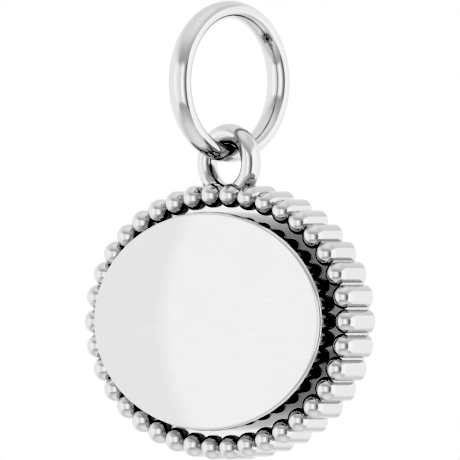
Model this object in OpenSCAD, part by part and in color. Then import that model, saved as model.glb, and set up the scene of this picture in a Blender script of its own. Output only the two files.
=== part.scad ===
// Beaded oval pendant that hangs from a jump ring.
// The origin is the inside top of the jump ring, where a chain bears.
// X runs across the pendant, Y from its face (-Y) to its back (+Y), Z up.

/* [Beaded border] */
// Number of round-ended rods around the border
bead_count = 38; // [38]
// Diameter of one rod
bead_d = 0.994; // [0.96:0.002:0.996]
// Half the width of the oval that the rod centres follow
path_a = 6.926; // [6.92:0.001:6.94]
// Half the height of the oval that the rod centres follow
path_b = 5.101; // [5.09:0.001:5.12]
// Length of the straight part of a rod, behind its round end
rod_len = 1.176; // [0.9:0.01:1.6]
// Bevel around a rod's back end
rod_bevel = 0.045; // [0.02:0.005:0.1]
// Height of the oval's centre below the inside top of the jump ring
drop = 12.244; // [12.2:0.001:12.3]
// Distance of the round ends' centres in front of the hanging plane
bead_front = 0.426; // [0.3:0.001:0.6]

/* [Floor] */
// Depth of the channel floor behind the round ends' centres
floor_depth = 0.05; // [0.02:0.01:0.6]
// Distance that the web between the rods reaches outside their axes
web_out = 0.2; // [0.1:0.01:0.3]
// Height of the web's front face in front of the round ends' centres
web_front = 0.1; // [0.02:0.01:0.15]
// Depth of the seat in the floor that takes the tablet
seat_depth = 0.25; // [0.1:0.01:0.4]

/* [Raised tablet] */
// Half the width of the tablet
disc_a = 6.285; // [6:0.005:6.3]
// Half the height of the tablet
disc_b = 4.425; // [4.2:0.005:4.45]
// Height of the edge of the tablet's face in front of the round ends' centres
disc_front = 0.954; // [0.5:0.001:1.2]
// Rise of the tablet's face from its edge to its middle
disc_crown = 0.18; // [0.05:0.01:0.3]
// Depth of the tablet's rounded front edge
disc_round = 0.156; // [0.08:0.002:0.25]
// Breadth of the rounded front edge at the ends of the tablet's width
disc_soft = 0.214; // [0.1:0.002:0.3]
// Clearance between the tablet and its seat
disc_gap = 0.02; // [0.01:0.005:0.05]

/* [Soldered ring] */
// Radius of the small ring, to the middle of its wire
loop_r = 1.209; // [1.15:0.001:1.3]
// Thickness of its wire, measured outward from the ring's centre
loop_t = 0.740; // [0.66:0.01:0.76]
// Width of its wire, measured from face to back
loop_w = 0.878; // [0.82:0.002:0.96]
// Height of its centre below the inside top of the jump ring
loop_drop = 5.832; // [5.8:0.001:5.86]

/* [Jump ring] */
// Radius of the jump ring, to the middle of its wire
ring_r = 2.914; // [2.9:0.001:2.93]
// Thickness of its wire, measured outward from the ring's centre
ring_t = 0.722; // [0.66:0.002:0.74]
// Width of its wire, measured across the pendant
ring_w = 1.046; // [0.9:0.002:1.06]

/* [Hidden] */
$fn = 96;
bead_r = bead_d / 2;
plate_back = rod_len - 0.03;      // the floor's back face, just inside the rods' ends
disc_back = floor_depth + seat_depth - disc_gap;
blend = 52;                       // angle at which a wire's end and side arcs meet
metal = [0.86, 0.87, 0.88];

// The tablet's face is one arc that runs on smoothly into the rounded edge
flat_r = disc_a - disc_soft;
crown_r = pow(flat_r, 2) / (2 * disc_crown);
meet = atan(tan(asin(flat_r / crown_r)) * disc_soft / disc_round); // place on the rounded edge where it meets
meet_x = flat_r + disc_soft * sin(meet);
meet_z = disc_front - disc_round + disc_round * cos(meet);
crown_z = meet_z - sqrt(pow(crown_r, 2) - pow(meet_x, 2));         // height of the arc's centre

// A point on the oval at angle t, in degrees
function oval(a, b, t) = [a * cos(t), b * sin(t)];

// Running length of the oval at steps of one quarter degree
steps = 1440;
function chord(i) = norm(oval(path_a, path_b, (i + 1) * 360 / steps) - oval(path_a, path_b, i * 360 / steps));
run = [for (i = 0, s = 0; i <= steps; s = s + chord(i), i = i + 1) s];

// The angle at which the running length reaches s, between table entries lo and hi
function angle_at(s, lo = 0, hi = steps) =
    hi - lo <= 1
        ? (lo + (s - run[lo]) / (run[hi] - run[lo])) * 360 / steps
        : let (mid = floor((lo + hi) / 2))
          run[mid] <= s ? angle_at(s, mid, hi) : angle_at(s, lo, mid);

// Rod centres, evenly spaced along the oval, with one at each end of its width
bead_at = [for (k = [0 : bead_count - 1]) oval(path_a, path_b, angle_at(k * run[steps] / bead_count))];

// The same points moved straight out by d
function moved_out(p, d) = let (n = [p[0] / pow(path_a, 2), p[1] / pow(path_b, 2)]) p + d * n / norm(n);
web_at = [for (p = bead_at) moved_out(p, web_out)];

// Puts a shape drawn face-up (its +Z towards the pendant's face) into the pendant's place
module face_on() {
    translate([0, -bead_front, -drop]) rotate([90, 0, 0]) children();
}

// One rod: a true half sphere on a straight pin with a bevelled back end
module rod() {
    rotate_extrude() {
        intersection() {
            circle(bead_r);
            square(bead_r);
        }
        polygon([[0, 0], [bead_r, 0], [bead_r, -rod_len + rod_bevel], [bead_r - rod_bevel, -rod_len], [0, -rod_len]]);
    }
}

// The floor, whose corners lie inside the rods, with the tablet's seat cut into it
module floor_plate() {
    difference() {
        translate([0, 0, -plate_back])
            linear_extrude(plate_back - floor_depth) polygon(web_at);
        translate([0, 0, -floor_depth - seat_depth])
            scale([disc_a + disc_gap, disc_b + disc_gap, 1]) cylinder(r = 1, h = seat_depth + 0.3);
    }
}

// The web that joins the rods outside their axes, its corners inside the rods
module web() {
    translate([0, 0, -plate_back]) linear_extrude(plate_back + web_front) difference() {
        polygon(web_at);
        polygon(bead_at);
    }
}

// An oval of four tangent arcs, with half axes a (along X, the longer) and b
module oval_section(a, b) {
    far = (a - b) / (1 + tan(blend) - 1 / cos(blend)); // end arcs' centres from the middle
    end_r = a - far;
    side = far * tan(blend);                           // side arcs' centres from the middle
    join = far + end_r * cos(blend);                   // where the arcs meet
    intersection() {
        translate([0, -side]) circle(b + side);
        translate([0, side]) circle(b + side);
        square([2 * join, 4 * b], center = true);
    }
    for (m = [0, 1]) mirror([m, 0]) intersection() {
        translate([far, 0]) circle(end_r);
        translate([join, -2 * b]) square([end_r, 4 * b]);
    }
}

// A ring of oval wire around the Z axis
module wire_ring(r, thick, wide) {
    rotate_extrude() translate([r, 0]) rotate(90) oval_section(wide / 2, thick / 2);
}

// The small ring, cut off level with the rods' axes where it is soldered between them
module soldered_ring() {
    intersection() {
        translate([0, 0, -loop_drop]) rotate([90, 0, 0]) wire_ring(loop_r, loop_t, loop_w);
        translate([-2, -1, -drop + path_b]) cube([4, 2, 4]);
    }
}

module beaded_frame() {
    color(metal) union() {
        face_on() {
            for (p = bead_at) translate([p[0], p[1], 0]) rod();
            floor_plate();
            web();
        }
        soldered_ring();
    }
}

// Section of the tablet, from its middle to its rim: a drum, the crowned face and the rounded edge
module disc_profile() {
    edge = disc_front - disc_round;
    translate([0, -disc_back]) square([disc_a, disc_back + edge]);
    intersection() {
        translate([0, crown_z]) circle(crown_r, $fn = 1440);
        translate([0, edge]) square([meet_x, 2]);
    }
    intersection() {
        translate([flat_r, edge]) scale([disc_soft, disc_round]) circle(1);
        translate([meet_x, edge]) square(1);
    }
}

// The tablet: an oval drum with a crowned face and a rounded front edge, built a quarter at a time
module center_disc() {
    color(metal) face_on() for (q = [0 : 3]) intersection() {
        scale([1, disc_b / disc_a, 1]) rotate_extrude($fn = 256) disc_profile();
        rotate([0, 0, 90 * q]) translate([0, 0, -2]) cube([9, 9, 5]);
    }
}

module jump_ring() {
    color(metal) translate([0, 0, -(ring_r - ring_t / 2)]) rotate([0, 90, 0]) wire_ring(ring_r, ring_t, ring_w);
}

beaded_frame();
center_disc();
jump_ring();
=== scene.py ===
import math

import bmesh
import bpy
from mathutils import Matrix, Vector


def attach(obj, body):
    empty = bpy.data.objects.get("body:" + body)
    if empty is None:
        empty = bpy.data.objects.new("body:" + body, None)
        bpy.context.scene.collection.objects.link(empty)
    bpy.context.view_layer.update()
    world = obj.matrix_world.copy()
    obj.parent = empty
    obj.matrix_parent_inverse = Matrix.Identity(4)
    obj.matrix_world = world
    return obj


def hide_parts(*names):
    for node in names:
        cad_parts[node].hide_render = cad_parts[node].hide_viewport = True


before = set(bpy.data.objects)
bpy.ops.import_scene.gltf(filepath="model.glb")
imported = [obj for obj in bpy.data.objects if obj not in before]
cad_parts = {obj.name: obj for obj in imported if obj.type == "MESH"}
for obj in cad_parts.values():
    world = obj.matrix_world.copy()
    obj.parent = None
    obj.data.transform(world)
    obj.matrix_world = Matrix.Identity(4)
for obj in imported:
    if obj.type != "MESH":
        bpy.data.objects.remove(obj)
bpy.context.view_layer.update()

MM = 0.001

# ---------------------------------------------------------------- camera
# Upright, turned 43.1 degrees round the pendant, with no perspective.
AZ = math.radians(43.1)
VIEW_W = 18.593 * MM
AIM = Vector((0.0239, 0.0223, -8.551)) * MM
back = Vector((math.sin(AZ), -math.cos(AZ), 0.0))
cam_data = bpy.data.cameras.new("camera")
cam_data.type = "ORTHO"
cam_data.ortho_scale = VIEW_W
cam_data.clip_start = 0.001
cam_data.clip_end = 10.0
cam = bpy.data.objects.new("camera", cam_data)
bpy.context.scene.collection.objects.link(cam)
cam.location = AIM + back * 0.06
cam.rotation_mode = "QUATERNION"
cam.rotation_quaternion = (-back).to_track_quat("-Z", "Y")
bpy.context.scene.camera = cam

# ---------------------------------------------------------------- sizes, in millimetres, as the CAD has them
BEADS = 38
BEAD_R = 0.497
PATH_A, PATH_B = 6.926, 5.101
ROD_LEN, ROD_BEVEL = 1.176, 0.045
DROP, BEAD_FRONT = 12.244, 0.426
FLOOR_DEPTH, SEAT_DEPTH = 0.05, 0.25
WEB_OUT, WEB_FRONT = 0.2, 0.1
DISC_A, DISC_B, DISC_FRONT = 6.285, 4.425, 0.954
DISC_ROUND, DISC_SOFT, DISC_GAP = 0.156, 0.214, 0.02
DISC_CROWN = 0.18
LOOP_R, LOOP_T, LOOP_W, LOOP_DROP = 1.209, 0.740, 0.878, 5.832
RING_R, RING_T, RING_W = 2.914, 0.722, 1.046
LOOP_FULL = (0.065, math.pi / 2, 0.7, 9.0)
RING_FULL = (0.04, math.pi * 1.5, 0.2, 0.2)


# ---------------------------------------------------------------- mesh helpers
def on_face(x, y, z):
    """A point drawn face-up (z towards the face) in the pendant's own place, in metres."""
    return Vector((x, -BEAD_FRONT - z, y - DROP)) * MM


def off_face(p):
    """The reverse of on_face, in millimetres."""
    return p[0] / MM, p[2] / MM + DROP, -p[1] / MM - BEAD_FRONT


def make_piece(name, bm, sharp=40, true_normal=None):
    """Turns bm into an object. true_normal(face's place in the list, its middle, its normal, a corner) gives
    the exact normal of the curved surface at that corner, so that reflections run over it without facets."""
    bmesh.ops.recalc_face_normals(bm, faces=bm.faces)
    mesh = bpy.data.meshes.new(name)
    bm.to_mesh(mesh)
    bm.free()
    for p in mesh.polygons:
        p.use_smooth = True
    mesh.set_sharp_from_angle(angle=math.radians(sharp))
    if true_normal:
        normals = []
        for p in mesh.polygons:
            middle, flat = p.center.copy(), p.normal.copy()
            normals += [true_normal(p.index, middle, flat, mesh.vertices[v].co) for v in p.vertices]
        mesh.normals_split_custom_set(normals)
    obj = bpy.data.objects.new(name, mesh)
    bpy.context.scene.collection.objects.link(obj)
    return obj


def skin(bm, loops, closed_u=True, cap_start=None, cap_end=None):
    """Quads between successive loops of vertices. A cap is a single pole vertex or True for one flat face."""
    for lo, hi in zip(loops, loops[1:]):
        n = len(lo)
        for i in range(n if closed_u else n - 1):
            j = (i + 1) % n
            bm.faces.new((lo[i], lo[j], hi[j], hi[i]))
    for cap, loop in ((cap_start, loops[0]), (cap_end, loops[-1])):
        if cap is True:
            bm.faces.new(loop)
        elif cap is not None:
            for i in range(len(loop)):
                bm.faces.new((cap, loop[i], loop[(i + 1) % len(loop)]))


def oval_run(a, b, count, fine=7200):
    """Points evenly spaced by length along an oval, the first at the end of its width."""
    pts = [(a * math.cos(math.tau * i / fine), b * math.sin(math.tau * i / fine)) for i in range(fine + 1)]
    run = [0.0]
    for p, q in zip(pts, pts[1:]):
        run.append(run[-1] + math.dist(p, q))
    out, i = [], 0
    for k in range(count):
        s = run[-1] * k / count
        while run[i + 1] < s:
            i += 1
        t = math.tau * (i + (s - run[i]) / (run[i + 1] - run[i])) / fine
        out.append((a * math.cos(t), b * math.sin(t)))
    return out


BEAD_AT = oval_run(PATH_A, PATH_B, BEADS)


# ---------------------------------------------------------------- border rods: true half spheres on straight pins
def rods():
    bm = bmesh.new()
    around, rings = 56, 18
    profile = [(BEAD_R * math.sin(math.pi / 2 * i / rings), BEAD_R * math.cos(math.pi / 2 * i / rings)) for i in range(1, rings + 1)]
    profile += [(BEAD_R, -0.02), (BEAD_R, -0.5), (BEAD_R, -ROD_LEN + ROD_BEVEL + 0.02), (BEAD_R, -ROD_LEN + ROD_BEVEL)]
    profile += [
        (BEAD_R - ROD_BEVEL * (1 - math.cos(math.pi / 2 * i / 4)), -ROD_LEN + ROD_BEVEL * (1 - math.sin(math.pi / 2 * i / 4)))
        for i in range(1, 5)
    ]
    for px, py in BEAD_AT:
        loops = [
            [
                bm.verts.new(on_face(px + r * math.cos(math.tau * i / around), py + r * math.sin(math.tau * i / around), z))
                for i in range(around)
            ]
            for r, z in profile
        ]
        skin(bm, loops, cap_start=bm.verts.new(on_face(px, py, BEAD_R)), cap_end=True)
    per_rod = len(bm.faces) // BEADS
    turn_z, turn_r = -ROD_LEN + ROD_BEVEL, BEAD_R - ROD_BEVEL

    def normal(index, middle, flat, corner):
        if flat.y > 0.999:
            return flat
        px, py = BEAD_AT[index // per_rod]
        x, y, z = off_face(corner)
        mid_z = off_face(middle)[2]
        x, y = x - px, y - py
        r = max(math.hypot(x, y), 1e-9)
        if mid_z > 0:
            n = (x, y, z)
        elif mid_z > turn_z:
            n = (x, y, 0.0)
        else:
            n = (x / r * (r - turn_r), y / r * (r - turn_r), z - turn_z)
        return Vector((n[0], -n[2], n[1])).normalized()

    return make_piece("border_rods", bm, true_normal=normal)


# ---------------------------------------------------------------- the floor and web that join the rods, with the tablet's seat
def floor_plate():
    bm = bmesh.new()
    per = 8
    corners = []
    for x, y in BEAD_AT:
        nx, ny = x / PATH_A**2, y / PATH_B**2
        n = math.hypot(nx, ny)
        corners.append((x + WEB_OUT * nx / n, y + WEB_OUT * ny / n))

    def chords(points):
        out = []
        for k in range(BEADS):
            (x0, y0), (x1, y1) = points[k], points[(k + 1) % BEADS]
            out += [(x0 + (x1 - x0) * i / per, y0 + (y1 - y0) * i / per) for i in range(per)]
        return out

    outer, axis = chords(corners), chords(BEAD_AT)
    seat_a, seat_b = DISC_A - 0.01, DISC_B - 0.01  # soldered round the tablet, so no gap shows
    seat = []
    for x, y in outer:
        t = math.atan2(y / PATH_B, x / PATH_A)
        seat.append((seat_a * math.cos(t), seat_b * math.sin(t)))
    back_z = -(ROD_LEN - 0.03)

    def ring(points, z):
        return [bm.verts.new(on_face(x, y, z)) for x, y in points]

    loops = [
        ring(outer, back_z),
        ring(outer, WEB_FRONT),
        ring(axis, WEB_FRONT),
        ring(axis, -FLOOR_DEPTH),
        ring(seat, -FLOOR_DEPTH),
        ring(seat, -FLOOR_DEPTH - SEAT_DEPTH),
    ]
    skin(bm, loops, cap_start=True, cap_end=True)
    return make_piece("border_floor", bm, sharp=25)


# ---------------------------------------------------------------- rings of oval wire
def fuller(full, t, side):
    """How much thicker a wire's inner side is at angle t round the ring, side from its middle."""
    high, at, spread, across = full
    return high * math.exp(-(((t - at) / spread) ** 2) - (side / across) ** 2)


def oval_wire(bm, radius, thick, wide, around, section, place, full):
    """A closed ring whose wire is oval: thick outward from the ring's centre, wide along its axis.
    full is how its inner side thickens where it bears on the other ring: the height, the place
    round the ring, the spread round it and the spread across the wire."""
    loops = []
    for i in range(around):
        t = math.tau * i / around
        loop = []
        for j in range(section):
            s = math.tau * j / section
            side = wide / 2 * math.sin(s)
            more = fuller(full, t, side) if math.cos(s) < 0 else 0.0
            r = radius + (thick / 2 + more) * math.cos(s)
            loop.append(bm.verts.new(place(r * math.cos(t), r * math.sin(t), side)))
        loops.append(loop)
    loops.append(loops[0])
    skin(bm, loops)


def wire_normal(centre, radius, thick, wide, full):
    """The exact normal of a ring of oval wire whose axis is along X."""

    def normal(index, middle, flat, corner):
        side, y, z = ((corner[i] - centre[i]) / MM for i in range(3))
        ring, t = math.hypot(y, z), math.atan2(z, y) % math.tau
        deep = ring - radius
        more = fuller(full, t, side) if deep < 0 else 0.0
        half = thick / 2 + more
        slope = deep**2 / half**3 * more * 2
        out = deep / half**2
        turn = slope * (t - full[1]) / full[2] ** 2 / ring
        over = side / (wide / 2) ** 2 + slope * side / full[3] ** 2
        return Vector((over, out * y / ring - turn * z / ring, out * z / ring + turn * y / ring)).normalized()

    return normal


def small_ring():
    bm = bmesh.new()
    oval_wire(bm, LOOP_R, LOOP_T, LOOP_W, 160, 72, lambda a, b, c: Vector((a, c, b - LOOP_DROP)) * MM, LOOP_FULL)
    level = (PATH_B - DROP) * MM
    cut = bmesh.ops.bisect_plane(
        bm, geom=bm.verts[:] + bm.edges[:] + bm.faces[:], dist=1e-9, plane_co=(0, 0, level), plane_no=(0, 0, -1), clear_outer=True
    )
    bmesh.ops.holes_fill(bm, edges=[e for e in cut["geom_cut"] if isinstance(e, bmesh.types.BMEdge)], sides=0)
    return make_piece("small_ring", bm)


def jump_ring():
    bm = bmesh.new()
    oval_wire(bm, RING_R, RING_T, RING_W, 256, 80, lambda a, b, c: Vector((c, a, b - (RING_R - RING_T / 2))) * MM, RING_FULL)
    centre = (0, 0, -(RING_R - RING_T / 2) * MM)
    return make_piece("jump_ring_wire", bm, true_normal=wire_normal(centre, RING_R, RING_T, RING_W, RING_FULL))


# ---------------------------------------------------------------- the tablet
def tablet():
    """A slightly crowned face whose arc runs on smoothly into the rounded edge, then a straight wall."""
    bm = bmesh.new()
    around = 288
    flat = DISC_A - DISC_SOFT
    edge_z = DISC_FRONT - DISC_ROUND
    crown_r = flat**2 / (2 * DISC_CROWN)
    t0 = math.atan(math.tan(math.asin(flat / crown_r)) * DISC_SOFT / DISC_ROUND)
    x0, z0 = flat + DISC_SOFT * math.sin(t0), edge_z + DISC_ROUND * math.cos(t0)
    crown_z = z0 - math.sqrt(crown_r**2 - x0**2)
    profile = []
    rings = 30
    for i in range(1, rings + 1):
        x = x0 * i / rings
        profile.append((x, crown_z + math.sqrt(crown_r**2 - x**2)))
    for i in range(1, 17):
        t = t0 + (math.pi / 2 - t0) * i / 16
        profile.append((flat + DISC_SOFT * math.sin(t), edge_z + DISC_ROUND * math.cos(t)))
    back_z = -(FLOOR_DEPTH + SEAT_DEPTH - DISC_GAP)
    profile += [(DISC_A, edge_z - 0.02), (DISC_A, -FLOOR_DEPTH), (DISC_A, back_z)]
    squeeze = DISC_B / DISC_A
    loops = [
        [
            bm.verts.new(on_face(r * math.cos(math.tau * i / around), r * math.sin(math.tau * i / around) * squeeze, z))
            for i in range(around)
        ]
        for r, z in profile
    ]
    skin(bm, loops, cap_start=bm.verts.new(on_face(0, 0, crown_z + crown_r)), cap_end=True)

    def normal(index, middle, flat_normal, corner):
        if flat_normal.y > 0.999:
            return flat_normal
        x, y, z = off_face(corner)
        mx, my, mz = off_face(middle)
        y, my = y / squeeze, my / squeeze
        r = math.hypot(x, y)
        if r < 1e-6:
            return Vector((0, -1, 0))
        if mz < edge_z:
            out, up = 1.0, 0.0
        elif math.hypot(mx, my) < x0:
            out, up = r, z - crown_z
        else:
            out, up = (r - flat) / DISC_SOFT**2, (z - edge_z) / DISC_ROUND**2
        return Vector((out * x / r, -up, out * y / r / squeeze)).normalized()

    return make_piece("tablet", bm, sharp=30, true_normal=normal)


# ---------------------------------------------------------------- node helpers
class Tree:
    """Short names for building a node tree."""

    def __init__(self, tree):
        self.t = tree

    def node(self, kind, **settings):
        n = self.t.nodes.new(kind)
        for k, v in settings.items():
            setattr(n, k, v)
        return n

    def put(self, socket, value):
        if isinstance(value, bpy.types.NodeSocket):
            self.t.links.new(value, socket)
        elif value is not None:
            socket.default_value = value

    def math(self, op, a, b=None, c=None):
        n = self.node("ShaderNodeMath", operation=op)
        for i, v in enumerate((a, b, c)):
            if v is not None:
                self.put(n.inputs[i], v)
        return n.outputs[0]

    def step(self, x, lo, hi, a=0.0, b=1.0):
        """Goes smoothly from a to b as x goes from lo to hi."""
        n = self.node("ShaderNodeMapRange", interpolation_type="SMOOTHSTEP")
        for i, v in enumerate((x, lo, hi, a, b)):
            self.put(n.inputs[i], v)
        return n.outputs[0]

    def mix(self, share, a, b):
        n = self.node("ShaderNodeMix", data_type="FLOAT")
        self.put(n.inputs[0], share)
        self.put(n.inputs[2], a)
        self.put(n.inputs[3], b)
        return n.outputs[0]

    def hump(self, x, a, b, c, d):
        """0 outside a..d, 1 from b to c."""
        return self.math("MULTIPLY", self.step(x, a, b), self.step(x, c, d, 1.0, 0.0))


# ---------------------------------------------------------------- studio: a white cyclorama with soft lights
SHINE = 0.68  # what the polished metal sends back, seen straight on
BLACK = 0.30  # the picture's black level: a contrasty, clean white catalogue exposure
GAMMA = 1.4  # and how steeply it rises from there


def studio():
    """Every level is the grey, out of 255, that the metal shows of that part of the studio."""
    world = bpy.data.worlds.new("studio")
    bpy.context.scene.world = world
    world.use_nodes = True
    world.node_tree.nodes.clear()
    t = Tree(world.node_tree)
    way = t.node("ShaderNodeTexCoord").outputs["Generated"]
    xyz = t.node("ShaderNodeSeparateXYZ")
    t.put(xyz.inputs[0], way)
    deg = 180 / math.pi
    az = t.math("MULTIPLY", t.math("ARCTAN2", xyz.outputs[0], t.math("MULTIPLY", xyz.outputs[1], -1.0)), deg)
    el = t.math("MULTIPLY", t.math("ARCSINE", xyz.outputs[2]), deg)
    up = t.math("ABSOLUTE", el)

    def both(x, y):
        return t.math("MULTIPLY", x, y)

    # overhead and underfoot: grey, lighter straight above and below
    lid = t.step(up, 60.0, 77.0, 1.0, 0.0)
    cap = t.step(up, 26.0, 64.0, 158.0, 214.0)
    cap = t.mix(both(t.step(az, 62.0, 92.0), lid), cap, 196.0)
    cap = t.mix(both(t.step(az, 150.0, 176.0), lid), cap, 211.0)
    left = t.mix(t.step(el, -5.0, 5.0), t.step(el, -75.0, -40.0, 212.0, 196.0), 212.0)
    cap = t.mix(both(t.step(az, -10.0, -75.0), lid), cap, left)
    cap = t.mix(t.step(up, 62.0, 80.0), cap, 220.0)

    # the walls, from the back round the left side, the front and the right side
    wall = t.step(az, -118.0, -106.0, 234.0, 229.5)
    # a large round soft light, whose edge the tablet shows
    bow = t.math("MULTIPLY", t.math("POWER", t.math("DIVIDE", el, 9.3), 2.0), 1.9)
    rim = t.math("SUBTRACT", az, bow)
    wall = t.mix(t.step(rim, -46.3, -44.9), wall, 240.0)
    wall = t.mix(t.step(az, -29.0, -17.0), wall, 224.0)
    wall = t.mix(t.hump(az, -6.0, 1.0, 5.0, 12.0), wall, 209.0)
    wall = t.mix(t.hump(az, 8.0, 16.0, 30.0, 42.0), wall, 238.0)
    wall = t.mix(both(t.hump(az, 18.0, 22.0, 27.0, 31.0), t.hump(el, -20.0, -14.0, 2.0, 10.0)), wall, 250.0)
    wall = t.mix(t.hump(az, 33.0, 67.0, 72.5, 77.0), wall, 92.0)
    wall = t.mix(t.step(az, 73.0, 86.0), wall, 243.0)
    wall = t.mix(t.step(az, 126.0, 138.0), wall, 234.0)

    # how far up and down the walls reach
    high = t.math("SUBTRACT", el, t.step(az, 28.0, 44.0, 0.0, -4.0))
    front = both(t.step(high, 17.0, 27.0, 1.0, 0.0), t.step(el, -29.5, -23.5))
    wide = both(t.step(el, 16.0, 42.0, 1.0, 0.0), t.step(el, -48.0, -26.0))
    rest = both(t.step(t.math("SUBTRACT", el, t.step(az, 88.0, 104.0, 0.0, 7.0)), 26.0, 32.0, 1.0, 0.0), t.step(el, -44.0, -38.0))
    soft = t.mix(t.step(az, -36.0, -16.0), wide, front)
    soft = t.mix(t.step(az, 74.0, 80.0), soft, rest)
    grey = t.mix(soft, cap, wall)

    # from a picture grey to the light that gives it
    even = t.math("POWER", t.math("DIVIDE", grey, 255.0), 1.0 / GAMMA)
    seen = t.math("POWER", t.math("DIVIDE", t.math("ADD", even, 0.055), 1.055), 2.4)
    sent = t.math("ADD", t.math("MULTIPLY", seen, 1.0 - BLACK), BLACK)
    aim = t.node("ShaderNodeVectorMath", operation="DOT_PRODUCT")
    t.put(aim.inputs[0], way)
    aim.inputs[1].default_value = tuple(back)
    half = t.math("SQRT", t.math("MAXIMUM", t.math("MULTIPLY", t.math("ADD", aim.outputs["Value"], 1.0), 0.5), 0.0))
    edge = t.math("POWER", t.math("MAXIMUM", t.math("SUBTRACT", 1.0, half), 0.0), 5.0)
    level = t.math("DIVIDE", sent, t.math("ADD", t.math("MULTIPLY", edge, 1.0 - SHINE), SHINE))
    plain = t.node("ShaderNodeLightPath").outputs["Is Camera Ray"]
    level = t.mix(plain, level, 1.0)
    bg = t.node("ShaderNodeBackground")
    t.put(bg.inputs["Color"], level)
    out = t.node("ShaderNodeOutputWorld")
    t.put(out.inputs[0], bg.outputs[0])


# ---------------------------------------------------------------- floor
def studio_floor():
    bm = bmesh.new()
    n = 96
    radius, z = 0.150, -0.110
    loops = [[bm.verts.new((r * math.cos(math.tau * i / n), r * math.sin(math.tau * i / n), z)) for i in range(n)] for r in (0.03, 0.07, 0.11, radius)]
    skin(bm, loops, cap_start=True)
    floor = make_piece("floor", bm)
    mat = bpy.data.materials.new("floor_pale")
    mat.use_nodes = True
    nt = mat.node_tree
    bsdf = nt.nodes["Principled BSDF"]
    bsdf.inputs["Base Color"].default_value = (0.72, 0.72, 0.72, 1)
    bsdf.inputs["Roughness"].default_value = 0.8
    floor.data.materials.append(mat)
    floor.visible_glossy = False  # the studio's own lower half is what the metal reflects


# ---------------------------------------------------------------- polished metal
def metal(name, tone, marks, grain):
    """Mirror-polished white metal: faint polishing lines along grain, a little handling haze and a
    surface that is true to about a tenth of a degree. marks sets how strong they are."""
    mat = bpy.data.materials.new(name)
    mat.use_nodes = True
    t = Tree(mat.node_tree)
    bsdf = mat.node_tree.nodes["Principled BSDF"]
    bsdf.inputs["Metallic"].default_value = 1.0
    place = t.node("ShaderNodeTexCoord").outputs["Object"]

    def noise(scale, detail, vector):
        n = t.node("ShaderNodeTexNoise")
        t.put(n.inputs["Vector"], vector)
        n.inputs["Scale"].default_value = scale
        n.inputs["Detail"].default_value = detail
        return n.outputs["Fac"]

    haze = noise(420.0, 4.0, place)
    stretch = t.node("ShaderNodeMapping")
    t.put(stretch.inputs["Vector"], place)
    stretch.inputs["Scale"].default_value = grain
    lines = noise(9000.0, 3.0, stretch.outputs[0])
    fine = t.step(lines, 0.42, 0.72)
    shade = t.node("ShaderNodeMix", data_type="RGBA")
    t.put(shade.inputs[0], t.mix(0.35, haze, fine))
    shade.inputs[6].default_value = (tone - 0.008, tone - 0.008, tone - 0.008, 1)
    shade.inputs[7].default_value = (tone + 0.008, tone + 0.008, tone + 0.008, 1)
    t.put(bsdf.inputs["Base Color"], shade.outputs[2])
    rough = t.math("ADD", t.step(haze, 0.35, 0.75, 0.018, 0.034), t.math("MULTIPLY", fine, 0.02 * marks))
    t.put(bsdf.inputs["Roughness"], rough)
    swell = t.node("ShaderNodeBump")
    swell.inputs["Strength"].default_value = 1.0
    swell.inputs["Distance"].default_value = 0.0000012 * marks
    t.put(swell.inputs["Height"], noise(900.0, 1.0, place))
    scratch = t.node("ShaderNodeBump")
    scratch.inputs["Strength"].default_value = 1.0
    scratch.inputs["Distance"].default_value = 0.00000004 * marks
    t.put(scratch.inputs["Height"], lines)
    t.put(scratch.inputs["Normal"], swell.outputs[0])
    t.put(bsdf.inputs["Normal"], scratch.outputs[0])
    return mat


rods_obj = rods()
floor_obj = floor_plate()
small_obj = small_ring()
tablet_obj = tablet()
ring_obj = jump_ring()
frame_mat = metal("frame_metal", SHINE, 1.0, (1.0, 0.12, 1.0))
tablet_mat = metal("tablet_metal", SHINE, 0.35, (0.1, 1.0, 1.0))
ring_mat = metal("ring_metal", SHINE, 1.2, (1.0, 0.15, 0.15))
for obj, body, node, slot, mat in (
    (rods_obj, "pendant", "beaded_frame", "frame_metal", frame_mat),
    (floor_obj, "pendant", "beaded_frame", "frame_metal", frame_mat),
    (small_obj, "pendant", "beaded_frame", "frame_metal", frame_mat),
    (tablet_obj, "pendant", "center_disc", "tablet_metal", tablet_mat),
    (ring_obj, "ring", "jump_ring", "ring_metal", ring_mat),
):
    obj.data.materials.append(mat)
    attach(obj, body)
    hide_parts(node)

studio()
studio_floor()

scene = bpy.context.scene
scene.view_settings.view_transform = "Standard"
scene.view_settings.look = "None"
tone = scene.view_settings
tone.gamma = 1.0 / GAMMA
tone.use_curve_mapping = True
tone.curve_mapping.black_level = (BLACK, BLACK, BLACK)
tone.curve_mapping.white_level = (1.0, 1.0, 1.0)
tone.curve_mapping.update()
scene.cycles.max_bounces = 12
scene.cycles.glossy_bounces = 5
